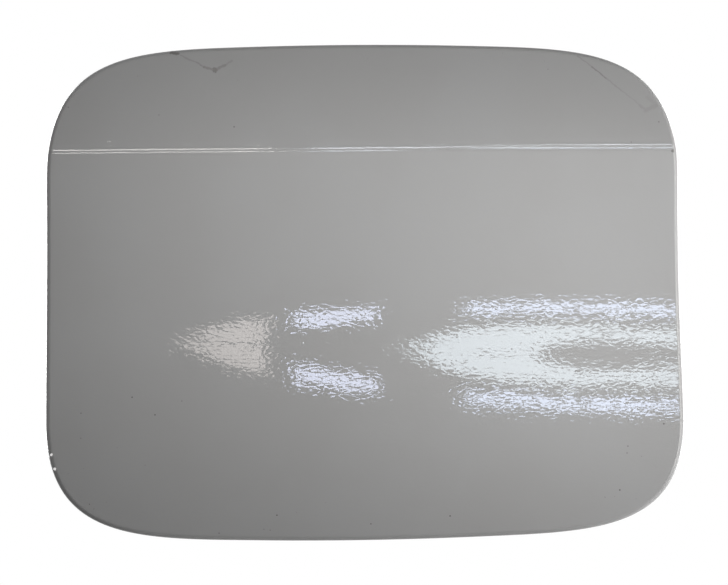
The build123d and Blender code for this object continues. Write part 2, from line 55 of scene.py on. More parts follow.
class Wire:
    # Wraps a socket, so that sums on it add Math nodes
    def __init__(self, tree, socket=None):
        self.tree = tree
        self.socket = socket

    def node(self, kind, settings=None, sockets=None, output=0):
        made = self.tree.nodes.new(kind)
        for key, value in (settings or {}).items():
            setattr(made, key, value)
        for key, value in (sockets or {}).items():
            entry = made.inputs[key]
            if isinstance(value, Wire):
                self.tree.links.new(value.socket, entry)
            else:
                entry.default_value = value
        return Wire(self.tree, made.outputs[output])

    def maths(self, operation, *values):
        return self.node("ShaderNodeMath", {"operation": operation}, dict(enumerate(values)))

    def __add__(self, other):
        return self.maths("ADD", self, other)

    def __radd__(self, other):
        return self.maths("ADD", other, self)

    def __sub__(self, other):
        return self.maths("SUBTRACT", self, other)

    def __rsub__(self, other):
        return self.maths("SUBTRACT", other, self)

    def __mul__(self, other):
        return self.maths("MULTIPLY", self, other)

    def __rmul__(self, other):
        return self.maths("MULTIPLY", other, self)

    def __truediv__(self, other):
        return self.maths("DIVIDE", self, other)

    def __rtruediv__(self, other):
        return self.maths("DIVIDE", other, self)

    def __pow__(self, other):
        return self.maths("POWER", self, other)

    def __abs__(self):
        return self.maths("ABSOLUTE", self)

    def clamped(self):
        return self.node("ShaderNodeClamp", {}, {"Value": self})

    def larger(self, other):
        return self.maths("MAXIMUM", self, other)

    def rise(self, low, high):
        # 0 below low, 1 above high, smooth between them
        return self.node(
            "ShaderNodeMapRange",
            {"interpolation_type": "SMOOTHSTEP"},
            {"Value": self, "From Min": low, "From Max": high},
        )

    def mixed(self, first, second):
        # A colour between two others, with this wire as the factor
        return self.node("ShaderNodeMix", {"data_type": "RGBA"}, {0: self, 6: first, 7: second}, output=2)


def newFinish(name, constants):
    # A material, its shader and the place on the piece that its patterns follow
    material = bpy.data.materials.new(name)
    material.use_nodes = True
    shader = material.node_tree.nodes["Principled BSDF"]
    for key, value in constants.items():
        shader.inputs[key].default_value = value
    place = Wire(material.node_tree).node("ShaderNodeTexCoord", output="Object")
    return material, shader, place


def feed(shader, links):
    for key, wire in links.items():
        wire.tree.links.new(wire.socket, shader.inputs[key])


def noiseAt(place, size, detail=2.0, roughness=0.5):
    # Noise with features about size millimetres across
    sockets = {"Vector": place, "Scale": 1.0 / (size * mm), "Detail": detail, "Roughness": roughness}
    return place.node("ShaderNodeTexNoise", {}, sockets)


def cellsAt(place, size, feature="F1"):
    # Cells about size millimetres across
    return place.node("ShaderNodeTexVoronoi", {"feature": feature}, {"Vector": place, "Scale": 1.0 / (size * mm)})


def stretched(place, scale):
    return place.node("ShaderNodeMapping", {}, {"Vector": place, "Scale": scale})


def split(place):
    parts = place.node("ShaderNodeSeparateXYZ", {}, {"Vector": place})
    outputs = parts.socket.node.outputs
    return [Wire(place.tree, outputs[index]) for index in range(3)]


def bumpOf(height, distance):
    return height.node("ShaderNodeBump", {}, {"Strength": 1.0, "Distance": distance, "Height": height})


def grey(level, warmth=0.0):
    return (level * (1 + warmth), level, level * (1 - warmth), 1.0)


def dress(material, *names):
    for name in names:
        slots = nodes[name].data.materials
        slots.clear()
        slots.append(material)


def newTree(name, inputs):
    tree = bpy.data.node_groups.new(name, "GeometryNodeTree")
    tree.interface.new_socket("Geometry", in_out="OUTPUT", socket_type="NodeSocketGeometry")
    tree.interface.new_socket("Geometry", in_out="INPUT", socket_type="NodeSocketGeometry")
    for label, kind in inputs.items():
        tree.interface.new_socket(label, in_out="INPUT", socket_type=kind)
    entry = tree.nodes.new("NodeGroupInput")
    wires = {socket.name: Wire(tree, socket) for socket in entry.outputs if socket.name}
    return tree, wires


def endTree(wire, material):
    realized = wire.node("GeometryNodeRealizeInstances", {}, {"Geometry": wire})
    finished = wire.node("GeometryNodeSetMaterial", {}, {"Geometry": realized, "Material": material})
    exitNode = wire.tree.nodes.new("NodeGroupOutput")
    wire.tree.links.new(finished.socket, exitNode.inputs[0])


def grow(name, mesh, tree, values):
    # Runs a tree on a mesh and keeps the plain mesh that comes out
    piece = bpy.data.objects.new(name, mesh)
    scene.collection.objects.link(piece)
    modifier = piece.modifiers.new(name, "NODES")
    modifier.node_group = tree
    for item in tree.interface.items_tree:
        if item.in_out == "INPUT" and item.name in values:
            modifier[item.identifier] = values[item.name]
    grownPiece = piece.evaluated_get(bpy.context.evaluated_depsgraph_get())
    grown = bpy.data.meshes.new_from_object(grownPiece)
    piece.modifiers.clear()
    piece.data = grown
    grown.name = name
    print(name, "grown with", len(grown.polygons), "faces")
    return piece


def pathMesh(name, points, closed):
    count = len(points)
    edges = [(index, (index + 1) % count) for index in range(count if closed else count - 1)]
    mesh = bpy.data.meshes.new(name)
    mesh.from_pydata([tuple(point) for point in points], edges, [])
    return mesh


def addAttribute(mesh, name, kind, values):
    layer = mesh.attributes.new(name, kind, "POINT")
    for item, value in zip(layer.data, values):
        if kind == "FLOAT":
            item.value = value
        else:
            item.vector = value


# The outer surface: places on it are given from the panel's centre, right and up. The fold between the hollow and
# the bulge leans a little and the crease is softer at the right, and the rest is as in the solids
panelForm = {
    "centre": Vector((39.6, -37.988, 4.0)),
    "width": 177.2,
    "height": 137.25,
    "sideLean": 0.7,
    "sideTop": 30.4,
    "sideFoot": -34.5,
    "edgeRun": 29.5,
    "edgeCrown": 0.37,
    "edgeSteps": 12,
    "sideSteps": 16,
    "cornerTop": 34.4,
    "cornerSide": 37.1,
    "cornerFoot": 33.7,
    "cornerBottom": 34.2,
    "crease": 38.9,
    "creaseRadius": 4.5,
    "creaseSoftRadius": 8.0,
    "creaseSoftStart": 15.0,
    "creaseSoftEnd": 50.0,
    "upperTilt": 9.0,
    "upperRadius": 700.0,
    "hollowRadius": 182.0,
    "bulgeStart": -15.4,
    "bulgeTilt": 6.9,
    "bulgeRadius": 345.0,
    "foldLean": -0.045,
    "crownRadius": 1600.0,
}


def sectionAt(across, height):
    # Depth behind the crease and tilt of the surface, from one arc to the next below it
    form = panelForm
    foldHeight = form["bulgeStart"] + form["foldLean"] * across
    foldSine = math.sin(math.radians(form["bulgeTilt"]))
    upperSine = math.sin(math.radians(form["upperTilt"]))
    creaseSine = foldSine - (form["crease"] - form["bulgeStart"]) / form["hollowRadius"]
    hollowRadius = (form["crease"] - foldHeight) / (foldSine - creaseSine)
    share = (across - form["creaseSoftStart"]) / (form["creaseSoftEnd"] - form["creaseSoftStart"])
    share = min(max(share, 0.0), 1.0)
    creaseRadius = form["creaseRadius"] + (form["creaseSoftRadius"] - form["creaseRadius"]) * share
    half = creaseRadius * math.tan((math.asin(upperSine) - math.asin(creaseSine)) / 2)
    top = form["crease"] + half * math.sqrt(1 - upperSine ** 2)
    foot = form["crease"] - half * math.sqrt(1 - creaseSine ** 2)

    def arc(sine, startSine, radius):
        return radius * (math.sqrt(1 - startSine ** 2) - math.sqrt(1 - sine ** 2))

    def upper(level):
        return upperSine + (level - form["crease"]) / form["upperRadius"]

    def hollow(level):
        return foldSine - (level - foldHeight) / hollowRadius

    if height >= top:
        sine = upper(height)
        return arc(sine, upperSine, form["upperRadius"]), math.asin(sine)
    depth = arc(upper(top), upperSine, form["upperRadius"])
    radius = (top - foot) / (upper(top) - hollow(foot))
    if height >= foot:
        sine = upper(top) - (top - height) / radius
        return depth + arc(sine, upper(top), radius), math.asin(sine)
    depth += arc(hollow(foot), upper(top), radius)
    if height >= foldHeight:
        sine = hollow(height)
        return depth + arc(sine, hollow(foot), -hollowRadius), math.asin(sine)
    depth += arc(foldSine, hollow(foot), -hollowRadius)
    sine = foldSine + (height - foldHeight) / form["bulgeRadius"]
    return depth + arc(sine, foldSine, form["bulgeRadius"]), math.asin(sine)


def onSurface(across, height, behind=0.0):
    # Point and outward normal of the surface, or of one that lies behind it
    depth, tilt = sectionAt(across, height)
    reach = panelForm["crownRadius"] - depth
    turn = math.asin(across / reach)
    step = 0.05
    twist = (sectionAt(across + step, height)[0] - sectionAt(across - step, height)[0]) / (2 * step)
    normal = Vector((math.tan(turn) + twist, -1, math.tan(tilt) / math.cos(turn))).normalized()
    local = Vector((across, panelForm["crownRadius"] - reach * math.cos(turn), height))
    return (panelForm["centre"] + local - normal * behind) * mm, normal


def cornerCurve(start, leave, arrive, finish, steps):
    points = []
    for index in range(steps):
        t = index / steps
        points.append(
            start * (1 - t) ** 3 + leave * (3 * t * (1 - t) ** 2) + arrive * (3 * t * t * (1 - t)) + finish * t ** 3
        )
    return points


def outlinePoints(inset, cornerSteps):
    # The panel's outline moved in, clockwise from the middle of its top edge
    form = panelForm
    edgeSteps, sideSteps = form["edgeSteps"], form["sideSteps"]
    halfWidth = form["width"] / 2 - inset
    halfHeight = form["height"] / 2 - inset
    shareWide = (halfWidth - form["edgeRun"]) / (form["width"] / 2 - form["edgeRun"])
    shareTop = (halfHeight - form["sideTop"]) / (form["height"] / 2 - form["sideTop"])
    shareFoot = (halfHeight + form["sideFoot"]) / (form["height"] / 2 + form["sideFoot"])
    run, crown = form["edgeRun"], form["edgeCrown"]
    topEnd = Vector((run, halfHeight - crown))
    sideTop = Vector((halfWidth - form["sideLean"], form["sideTop"]))
    sideFoot = Vector((halfWidth, form["sideFoot"]))
    bottomEnd = Vector((run, crown - halfHeight))
    along = Vector((run, -2 * crown)).normalized()
    down = (sideFoot - sideTop).normalized()
    back = Vector((-run, -2 * crown)).normalized()
    right = [Vector((run * i / edgeSteps, halfHeight - crown * (i / edgeSteps) ** 2)) for i in range(edgeSteps)]
    right += cornerCurve(
        topEnd,
        topEnd + along * form["cornerTop"] * shareWide,
        sideTop - down * form["cornerSide"] * shareTop,
        sideTop,
        cornerSteps,
    )
    right += [sideTop.lerp(sideFoot, i / sideSteps) for i in range(sideSteps)]
    right += cornerCurve(
        sideFoot,
        sideFoot + down * form["cornerFoot"] * shareFoot,
        bottomEnd - back * form["cornerBottom"] * shareWide,
        bottomEnd,
        cornerSteps,
    )
    for i in range(edgeSteps + 1):
        share = 1 - i / edgeSteps
        right.append(Vector((run * share, -halfHeight + crown * share ** 2)))
    left = [Vector((-point.x, point.y)) for point in reversed(right[1:-1])]
    return right + left


# Body paint: light grey gloss with orange peel, a scuff, a scratch and small chips on the edge
paint = {
    "colour": grey(0.385, 0.010),
    "paleColour": grey(0.398, 0.004),
    "scuffColour": grey(0.105, 0.10),
    "bareColour": grey(0.72, 0.01),
    "gloss": 0.02,
    "wornRoughness": 0.5,
    "cloudSize": 40.0,
    "cloudEdge": (0.35, 0.65),
    "outsideEdge": (-0.2, 0.1),
    "peelSize": 0.7,
    "broadPeelSize": 1.6,
    "broadPeelShare": 1.5,
    "peelDepth": 0.0056,
    "peelStretch": 0.5,
    "cellSize": 1.2,
    "valleyWidth": 0.26,
    "valleyDepth": 0.0024,
    "grooveDepth": 0.05,
    "grooveWidth": 0.45,
    "grooveEnd": (-5.0, 45.0),
    "wanderSize": 9.0,
    "wander": 0.5,
    "wobbleSize": 1.6,
    "wobble": 0.7,
    "raggedSize": 0.5,
    "markCore": 0.35,
    "scuff": [
        (-53.3, 66.5), (-51.3, 66.2), (-46.4, 63.7), (-44.2, 62.5), (-41.3, 61.5), (-38.3, 63.0), (-36.5, 64.1),
    ],
    "scuffStrength": [0.8, 0.22, 0.3, 0.6, 0.5, 0.22],
    "scuffWidth": [0.55, 0.3, 0.3, 0.45, 0.55, 0.4],
    "scratch": [
        (59.9, 65.1), (64.0, 62.0), (67.8, 58.9), (72.5, 54.9),
        (77.0, 51.3), (78.6, 49.6), (81.8, 51.2), (79.4, 53.3),
    ],
    "scratchStrength": [0.2, 0.4, 0.2, 0.12, 0.16, 0.14, 0.09],
    "scratchWidth": [0.25, 0.35, 0.3, 0.3, 0.5, 0.9, 0.8],
    "paleChips": [(-87.0, -43.9, 0.42), (-86.1, -47.8, 0.46)],  # across, height, radius
    "paleChipCore": 0.75,
    "paleChipRagged": 0.4,
    "darkChips": [(86.0, 38.2, 0.5), (-41.2, 61.6, 0.95), (-53.0, 66.6, 0.6)],
    "darkChipCore": 0.6,
    "darkChipStrength": 0.8,
}


def nearLine(across, height, start, end):
    # Distance from the line between two places
    run, rise = end[0] - start[0], end[1] - start[1]
    offX, offZ = across - start[0], height - start[1]
    share = ((offX * run + offZ * rise) / (run * run + rise * rise)).clamped()
    awayX, awayZ = offX - share * run, offZ - share * rise
    return (awayX * awayX + awayZ * awayZ) ** 0.5


def nearSpot(across, height, spot):
    offX, offZ = across - spot[0], height - spot[1]
    return (offX * offX + offZ * offZ) ** 0.5


def makeBodyPaint():
    material, shader, place = newFinish("bodyPaint", {"IOR": 1.5, "Roughness": paint["gloss"]})
    x, _, z = split(place)
    facing = split(place.node("ShaderNodeTexCoord", output="Normal"))[1]
    outside = 1 - facing.rise(*paint["outsideEdge"])
    wobble = noiseAt(place, paint["wobbleSize"], 3.0) - 0.5
    across = x / mm - panelForm["centre"].x + wobble * paint["wobble"]
    height = z / mm - panelForm["centre"].z + wobble * paint["wobble"]
    ragged = noiseAt(place, paint["raggedSize"], 2.0)

    marks = None
    for line, strengths, widths in (
        (paint["scuff"], paint["scuffStrength"], paint["scuffWidth"]),
        (paint["scratch"], paint["scratchStrength"], paint["scratchWidth"]),
    ):
        for start, end, strength, width in zip(line, line[1:], strengths, widths):
            away = nearLine(across, height, start, end) + (ragged - 0.5) * width
            mark = (1 - away.rise(width * paint["markCore"], width)) * strength
            marks = mark if marks is None else marks.larger(mark)
    for spot in paint["darkChips"]:
        radius = spot[2]
        away = nearSpot(across, height, spot) + (ragged - 0.5) * radius
        chip = 1 - away.rise(radius * paint["darkChipCore"], radius)
        marks = marks.larger(chip * paint["darkChipStrength"])
    chips = None
    for spot in paint["paleChips"]:
        radius = spot[2]
        away = nearSpot(across, height, spot) + (ragged - 0.5) * paint["paleChipRagged"]
        chip = 1 - away.rise(radius * paint["paleChipCore"], radius)
        chips = chip if chips is None else chips.larger(chip)
    marks = marks * outside
    chips = chips * outside

    cloud = noiseAt(place, paint["cloudSize"], 3.0).rise(*paint["cloudEdge"])
    colour = cloud.mixed(paint["colour"], paint["paleColour"])
    colour = marks.mixed(colour, paint["scuffColour"])
    colour = chips.mixed(colour, paint["bareColour"])
    drawn = stretched(place, (paint["peelStretch"], 1.0, 1.0))
    broadPeel = noiseAt(drawn, paint["broadPeelSize"], 1.0) * paint["broadPeelShare"]
    peel = noiseAt(drawn, paint["peelSize"], 0.0) + broadPeel
    cells = cellsAt(drawn, paint["cellSize"], "DISTANCE_TO_EDGE")
    valleys = 1 - cells.rise(0.0, paint["valleyWidth"] / paint["cellSize"])
    wander = (noiseAt(stretched(place, (1.0, 0.0, 0.0)), paint["wanderSize"], 2.0) - 0.5) * paint["wander"]
    offCrease = abs(z / mm - panelForm["centre"].z - panelForm["crease"] + wander)
    ending = (x / mm - panelForm["centre"].x).rise(*paint["grooveEnd"])
    groove = (1 - offCrease.rise(0.0, paint["grooveWidth"])) * (1 - ending)
    relief = peel * paint["peelDepth"] - valleys * paint["valleyDepth"] - groove * paint["grooveDepth"]
    feed(
        shader,
        {
            "Base Color": colour,
            "Metallic": chips,
            "Roughness": (marks + chips).clamped() * paint["wornRoughness"] + paint["gloss"],
            "Normal": bumpOf(relief, mm),
        },
    )
    return material


bodyPaint = makeBodyPaint()
print("body paint mixed")


# Outer skin: the outer panel with its rounded hem, fine enough for clean mirrored lines
skin = {
    "inset": 0.03,
    "thickness": 3.1,
    "lipWidth": 7.5,
    "slotFront": 1.08,
    "slotBack": 2.02,
    "columns": 72,
    "rimSteps": 16,
    "cornerSteps": 240,
    "cornerStride": 6,
    "creaseSpan": 2.2,
    "creaseRows": 52,
}


def edgePlace(spot, outward):
    # Where the front face ends and the rounded edge begins
    normal = onSurface(spot.x, spot.y)[1]
    lean = normal.x * outward.x + normal.z * outward.y
    return spot - outward * (skin["thickness"] / 2) * (1 - lean)


def skinRows():
    # Places on the front face in rows from the top down, and the outward direction at the ends of each row
    steps = skin["cornerSteps"]
    outline = outlinePoints(skin["inset"], steps)
    run, crown = panelForm["edgeRun"], panelForm["edgeCrown"]
    halfHeight = panelForm["height"] / 2 - skin["inset"]
    shares = [2 * i / skin["columns"] - 1 for i in range(skin["columns"] + 1)]
    first, sideSteps = panelForm["edgeSteps"], panelForm["sideSteps"]
    side = []
    for index in range(first + 1, first + 2 * steps + sideSteps):
        along = outline[index + 1] - outline[index - 1]
        outward = Vector((-along.y, along.x)).normalized()
        side.append((edgePlace(outline[index], outward), outward))
    ends = []
    for i, entry in enumerate(side):
        if i % skin["cornerStride"] == 0 or steps < i < steps + sideSteps:
            ends.append(entry)
    for i in range(skin["creaseRows"] + 1):
        level = panelForm["crease"] + skin["creaseSpan"] * (2 * i / skin["creaseRows"] - 1)
        below = next(k for k, entry in enumerate(side) if entry[0].y < level)
        (high, highOut), (low, lowOut) = side[below - 1], side[below]
        share = (high.y - level) / (high.y - low.y)
        ends.append((high.lerp(low, share), highOut.lerp(lowOut, share).normalized()))
    ends.sort(key=lambda entry: -entry[0].y)

    def flatRow(sign):
        row = []
        for share in shares:
            outward = Vector((2 * crown * share / run, sign)).normalized()
            spot = Vector((run * share, sign * (halfHeight - crown * share ** 2)))
            row.append((edgePlace(spot, outward), outward))
        return row

    rows = [flatRow(1)]
    for place, outward in ends:
        row = [(Vector((place.x * share, place.y)), None) for share in shares]
        row[0] = (row[0][0], Vector((-outward.x, outward.y)))
        row[-1] = (row[-1][0], outward)
        rows.append(row)
    rows.append(flatRow(-1))
    return rows


def makeSkin():
    rows = skinRows()
    wide = len(rows[0])
    lastRow = len(rows) - 1
    loop = [(0, j) for j in range(wide)] + [(r, wide - 1) for r in range(1, lastRow)]
    loop += [(lastRow, j) for j in reversed(range(wide))] + [(r, 0) for r in reversed(range(1, lastRow))]
    points, normals, faces = [], [], []

    def addGrid(behind, sign):
        offset = len(points)
        for row in rows:
            for place, _ in row:
                point, normal = onSurface(place.x, place.y, behind)
                points.append(point)
                normals.append(normal * sign)
        for r in range(lastRow):
            for j in range(wide - 1):
                corner = offset + r * wide + j
                face = [corner, corner + wide, corner + wide + 1, corner + 1]
                faces.append(face if sign > 0 else face[::-1])
        return [offset + r * wide + j for r, j in loop]

    def addRing(entries, before):
        offset = len(points)
        for point, normal in entries:
            points.append(point)
            normals.append(normal)
        ring = list(range(offset, offset + len(entries)))
        joinRings(before, ring)
        return ring

    def joinRings(before, after):
        for index in range(len(before)):
            following = (index + 1) % len(before)
            faces.append([before[index], before[following], after[following], after[index]])

    half = skin["thickness"] / 2
    ring = addGrid(0.0, 1)
    ends = []
    for r, j in loop:
        place, outward = rows[r][j]
        point, normal = onSurface(place.x, place.y)
        side = Vector((outward.x, 0, outward.y))
        side = (side - normal * side.dot(normal)).normalized()
        ends.append((place, outward, point, normal, side))
    for step in range(1, skin["rimSteps"] + 1):
        angle = math.pi * step / skin["rimSteps"]
        turned = [(end, end[3] * math.cos(angle) + end[4] * math.sin(angle)) for end in ends]
        ring = addRing([(end[2] + (way - end[3]) * half * mm, way) for end, way in turned], ring)
    lip = [place - outward * (skin["lipWidth"] - half) for place, outward, *_ in ends]
    backs = [onSurface(place.x, place.y, skin["thickness"]) for place in lip]
    ring = addRing([(point, -normal) for point, normal in backs], ring)
    smoothFaces = len(faces)
    backs = [onSurface(place.x, place.y, skin["slotBack"]) for place in lip]
    ring = addRing(backs, ring)
    backs = [onSurface(end[0].x, end[0].y, skin["slotBack"]) for end in ends]
    ring = addRing(backs, ring)
    joinRings(ring, addGrid(skin["slotFront"], -1))

    mesh = bpy.data.meshes.new("outerSkin")
    mesh.from_pydata([tuple(point) for point in points], [], faces)
    mesh.polygons.foreach_set("use_smooth", [True] * len(faces))
    cornerNormals = []
    for polygon in mesh.polygons:
        flat = polygon.index >= smoothFaces
        cornerNormals += [polygon.normal if flat else normals[vertex] for vertex in polygon.vertices]
    mesh.normals_split_custom_set([tuple(normal) for normal in cornerNormals])
    mesh.materials.append(bodyPaint)
    piece = bpy.data.objects.new("outerSkin", mesh)
    scene.collection.objects.link(piece)
    print("outerSkin made with", len(faces), "faces")
    return piece


outerSkin = makeSkin()
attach(outerSkin, "door")
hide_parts("outer_panel")


# Inner paint: the same grey, satin, with patches and specks of dust
innerPaint = {
    "colour": grey(0.34, 0.008),
    "dustColour": grey(0.26, 0.09),
    "patchSize": 26.0,
    "patchEdge": (0.48, 0.72),
    "patchShare": 0.55,
    "speckSize": 1.1,
    "speckEdge": (0.62, 0.74),
    "speckShare": 0.35,
    "roughness": 0.42,
    "dustRoughness": 0.3,
    "peelSize": 1.6,
    "peelDepth": 0.012,
}


def makeInnerPaint():
    material, shader, place = newFinish("innerPaint", {"IOR": 1.5})
    patches = noiseAt(place, innerPaint["patchSize"], 5.0, 0.6).rise(*innerPaint["patchEdge"])
    specks = noiseAt(place, innerPaint["speckSize"], 2.0).rise(*innerPaint["speckEdge"])
    dust = (patches * innerPaint["patchShare"] + specks * innerPaint["speckShare"]).clamped()
    feed(
        shader,
        {
            "Base Color": dust.mixed(innerPaint["colour"], innerPaint["dustColour"]),
            "Roughness": dust * innerPaint["dustRoughness"] + innerPaint["roughness"],
            "Normal": bumpOf(noiseAt(place, innerPaint["peelSize"], 2.0), innerPaint["peelDepth"] * mm),
        },
    )
    return material


dress(makeInnerPaint(), "inner_panel")


# Black dip coat on the hinge's leaf and base: satin, with grey rubbing marks
dipCoat = {
    "colour": grey(0.012),
    "rubbedColour": grey(0.05, 0.03),
    "rubbedSize": 9.0,
    "rubbedEdge": (0.56, 0.74),
    "rubbedShare": 0.6,
    "rubbedRoughness": 0.2,
    "roughness": 0.38,
    "grainSize": 0.7,
    "grainRoughness": 0.1,
    "grainDepth": 0.02,
}


def makeDipCoat():
    material, shader, place = newFinish("dipCoat", {"IOR": 1.5})
    streaks = noiseAt(stretched(place, (1.0, 6.0, 6.0)), dipCoat["rubbedSize"], 4.0, 0.65)
    rubbed = streaks.rise(*dipCoat["rubbedEdge"]) * dipCoat["rubbedShare"]
    grain = noiseAt(place, dipCoat["grainSize"], 2.0)
    rougher = rubbed * dipCoat["rubbedRoughness"] + grain * dipCoat["grainRoughness"]
    feed(
        shader,
        {
            "Base Color": rubbed.mixed(dipCoat["colour"], dipCoat["rubbedColour"]),
            "Roughness": rougher + dipCoat["roughness"],
            "Normal": bumpOf(grain, dipCoat["grainDepth"] * mm),
        },
    )
    return material


dress(makeDipCoat(), "hinge_leaf", "hinge_base")


# Zinc plate on the rivets, washers and lock eye: pale metal with cloudy passivation
zinc = {
    "colour": (0.56, 0.56, 0.54, 1.0),
    "tint": (0.50, 0.47, 0.38, 1.0),
    "cloudSize": 6.0,
    "cloudEdge": (0.4, 0.7),
    "cloudRoughness": 0.2,
    "spangleSize": 1.8,
    "spangleRoughness": 0.08,
    "roughness": 0.3,
    "grainSize": 0.5,
    "grainDepth": 0.006,
}


def makeZinc():
    material, shader, place = newFinish("zincPlate", {"Metallic": 1.0})
    cloud = noiseAt(place, zinc["cloudSize"], 4.0, 0.6)
    spangle = cellsAt(place, zinc["spangleSize"])
    feed(
        shader,
        {
            "Base Color": cloud.rise(*zinc["cloudEdge"]).mixed(zinc["colour"], zinc["tint"]),
            "Roughness": cloud * zinc["cloudRoughness"] + spangle * zinc["spangleRoughness"] + zinc["roughness"],
            "Normal": bumpOf(noiseAt(place, zinc["grainSize"], 2.0), zinc["grainDepth"] * mm),
        },
    )
    return material


dress(makeZinc(), "leaf_rivets", "lock_eye", "lock_eye_rivets", "washer_upper", "washer_lower")


# Turned steel on the pin and its ring: fine rings round the pin
turnedSteel = {
    "colour": (0.42, 0.42, 0.41, 1.0),
    "oilColour": (0.16, 0.14, 0.11, 1.0),
    "oilSize": 7.0,
    "oilEdge": (0.5, 0.72),
    "oilShare": 0.7,
    "roughness": 0.18,
    "ringPitch": 0.35,
    "ringRoughness": 0.25,
    "ringDepth": 0.01,
}


def makeTurnedSteel():
    material, shader, place = newFinish("turnedSteel", {"Metallic": 1.0})
    rings = noiseAt(stretched(place, (0.02, 0.02, 1.0)), turnedSteel["ringPitch"], 3.0)
    oil = noiseAt(place, turnedSteel["oilSize"], 3.0).rise(*turnedSteel["oilEdge"]) * turnedSteel["oilShare"]
    feed(
        shader,
        {
            "Base Color": oil.mixed(turnedSteel["colour"], turnedSteel["oilColour"]),
            "Roughness": rings * turnedSteel["ringRoughness"] + turnedSteel["roughness"],
            "Normal": bumpOf(rings, turnedSteel["ringDepth"] * mm),
        },
    )
    return material


dress(makeTurnedSteel(), "hinge_pin", "pin_ring")


# Natural nylon on the bushes and the spring's sleeve
nylon = {
    "colour": (0.60, 0.57, 0.48, 1.0),
    "wornColour": (0.38, 0.35, 0.29, 1.0),
    "wornSize": 3.0,
    "wornEdge": (0.52, 0.75),
    "wornRoughness": 0.2,
    "roughness": 0.42,
    "grainSize": 0.4,
    "grainDepth": 0.01,
}


def makeNylon():
    material, shader, place = newFinish("nylon", {"IOR": 1.53, "Subsurface Weight": 0.08})
    worn = noiseAt(place, nylon["wornSize"], 3.0).rise(*nylon["wornEdge"])
    feed(
        shader,
        {
            "Base Color": worn.mixed(nylon["colour"], nylon["wornColour"]),
            "Roughness": worn * nylon["wornRoughness"] + nylon["roughness"],
            "Normal": bumpOf(noiseAt(place, nylon["grainSize"], 2.0), nylon["grainDepth"] * mm),
        },
    )
    return material


dress(makeNylon(), "bush_upper", "bush_lower", "spring_sleeve")


# Moulded black plastic on the cap holder and plugs: fine spark grain
blackPlastic = {
    "colour": grey(0.016),
    "fadedColour": grey(0.032),
    "fadedSize": 12.0,
    "fadedEdge": (0.42, 0.7),
    "fadedRoughness": 0.15,
    "roughness": 0.5,
    "grainSize": 0.32,
    "grainDepth": 0.03,
}


def makeBlackPlastic():
    material, shader, place = newFinish("blackPlastic", {"IOR": 1.48})
    grain = cellsAt(place, blackPlastic["grainSize"])
    faded = noiseAt(place, blackPlastic["fadedSize"], 4.0).rise(*blackPlastic["fadedEdge"])
    feed(
        shader,
        {
            "Base Color": faded.mixed(blackPlastic["colour"], blackPlastic["fadedColour"]),
            "Roughness": faded * blackPlastic["fadedRoughness"] + blackPlastic["roughness"],
            "Normal": bumpOf(grain, blackPlastic["grainDepth"] * mm),
        },
    )
    return material


dress(makeBlackPlastic(), "cap_holder", "drain_plugs")


# Buffer rubber: matt black with a grey bloom
rubber = {
    "colour": grey(0.014),
    "bloomColour": grey(0.06, 0.02),
    "bloomSize": 4.0,
    "bloomEdge": (0.4, 0.75),
    "bloomShare": 0.7,
    "bloomRoughness": 0.15,
    "roughness": 0.72,
    "grainSize": 0.6,
    "grainDepth": 0.02,
}


def makeRubber():
    material, shader, place = newFinish("bufferRubber", {"IOR": 1.5})
    bloom = noiseAt(place, rubber["bloomSize"], 4.0, 0.6).rise(*rubber["bloomEdge"]) * rubber["bloomShare"]
    feed(
        shader,
        {
            "Base Color": bloom.mixed(rubber["colour"], rubber["bloomColour"]),
            "Roughness": bloom * rubber["bloomRoughness"] + rubber["roughness"],
            "Normal": bumpOf(noiseAt(place, rubber["grainSize"], 3.0), rubber["grainDepth"] * mm),
        },
    )
    return material


dress(makeRubber(), "buffer_upper", "buffer_lower")
print("finishes set on the fittings")


# Torsion spring: round wire on a left-hand helix with a leg at each end
spring = {
    "axis": Vector((-36.0, -22.6, 0.0)),
    "coilRadius": 4.65,
    "wireRadius": 0.8,
    "spacing": 2.1,
    "startHeight": -6.0,
    "turns": 4.7721,
    "baseLeg": 22.55,
    "baseLegSteps": 6,
    "leafLeg": 29.95,
    "leafLegSteps": 8,
    "turnSteps": 44,
    "wireSides": 20,
    "colour": (0.20, 0.19, 0.18, 1.0),
    "oilColour": (0.07, 0.06, 0.05, 1.0),
    "oilSize": 5.0,
    "oilEdge": (0.42, 0.66),
    "oilRoughness": 0.08,
    "roughness": 0.26,
    "drawnSize": 0.35,
    "drawnRoughness": 0.15,
    "drawnDepth": 0.008,
}


def makeSpringSteel():
    material, shader, place = newFinish("springSteel", {"Metallic": 1.0})
    oil = noiseAt(place, spring["oilSize"], 4.0).rise(*spring["oilEdge"])
    drawn = noiseAt(place, spring["drawnSize"], 2.0)
    feed(
        shader,
        {
            "Base Color": oil.mixed(spring["colour"], spring["oilColour"]),
            "Roughness": drawn * spring["drawnRoughness"] + oil * spring["oilRoughness"] + spring["roughness"],
            "Normal": bumpOf(drawn, spring["drawnDepth"] * mm),
        },
    )
    return material


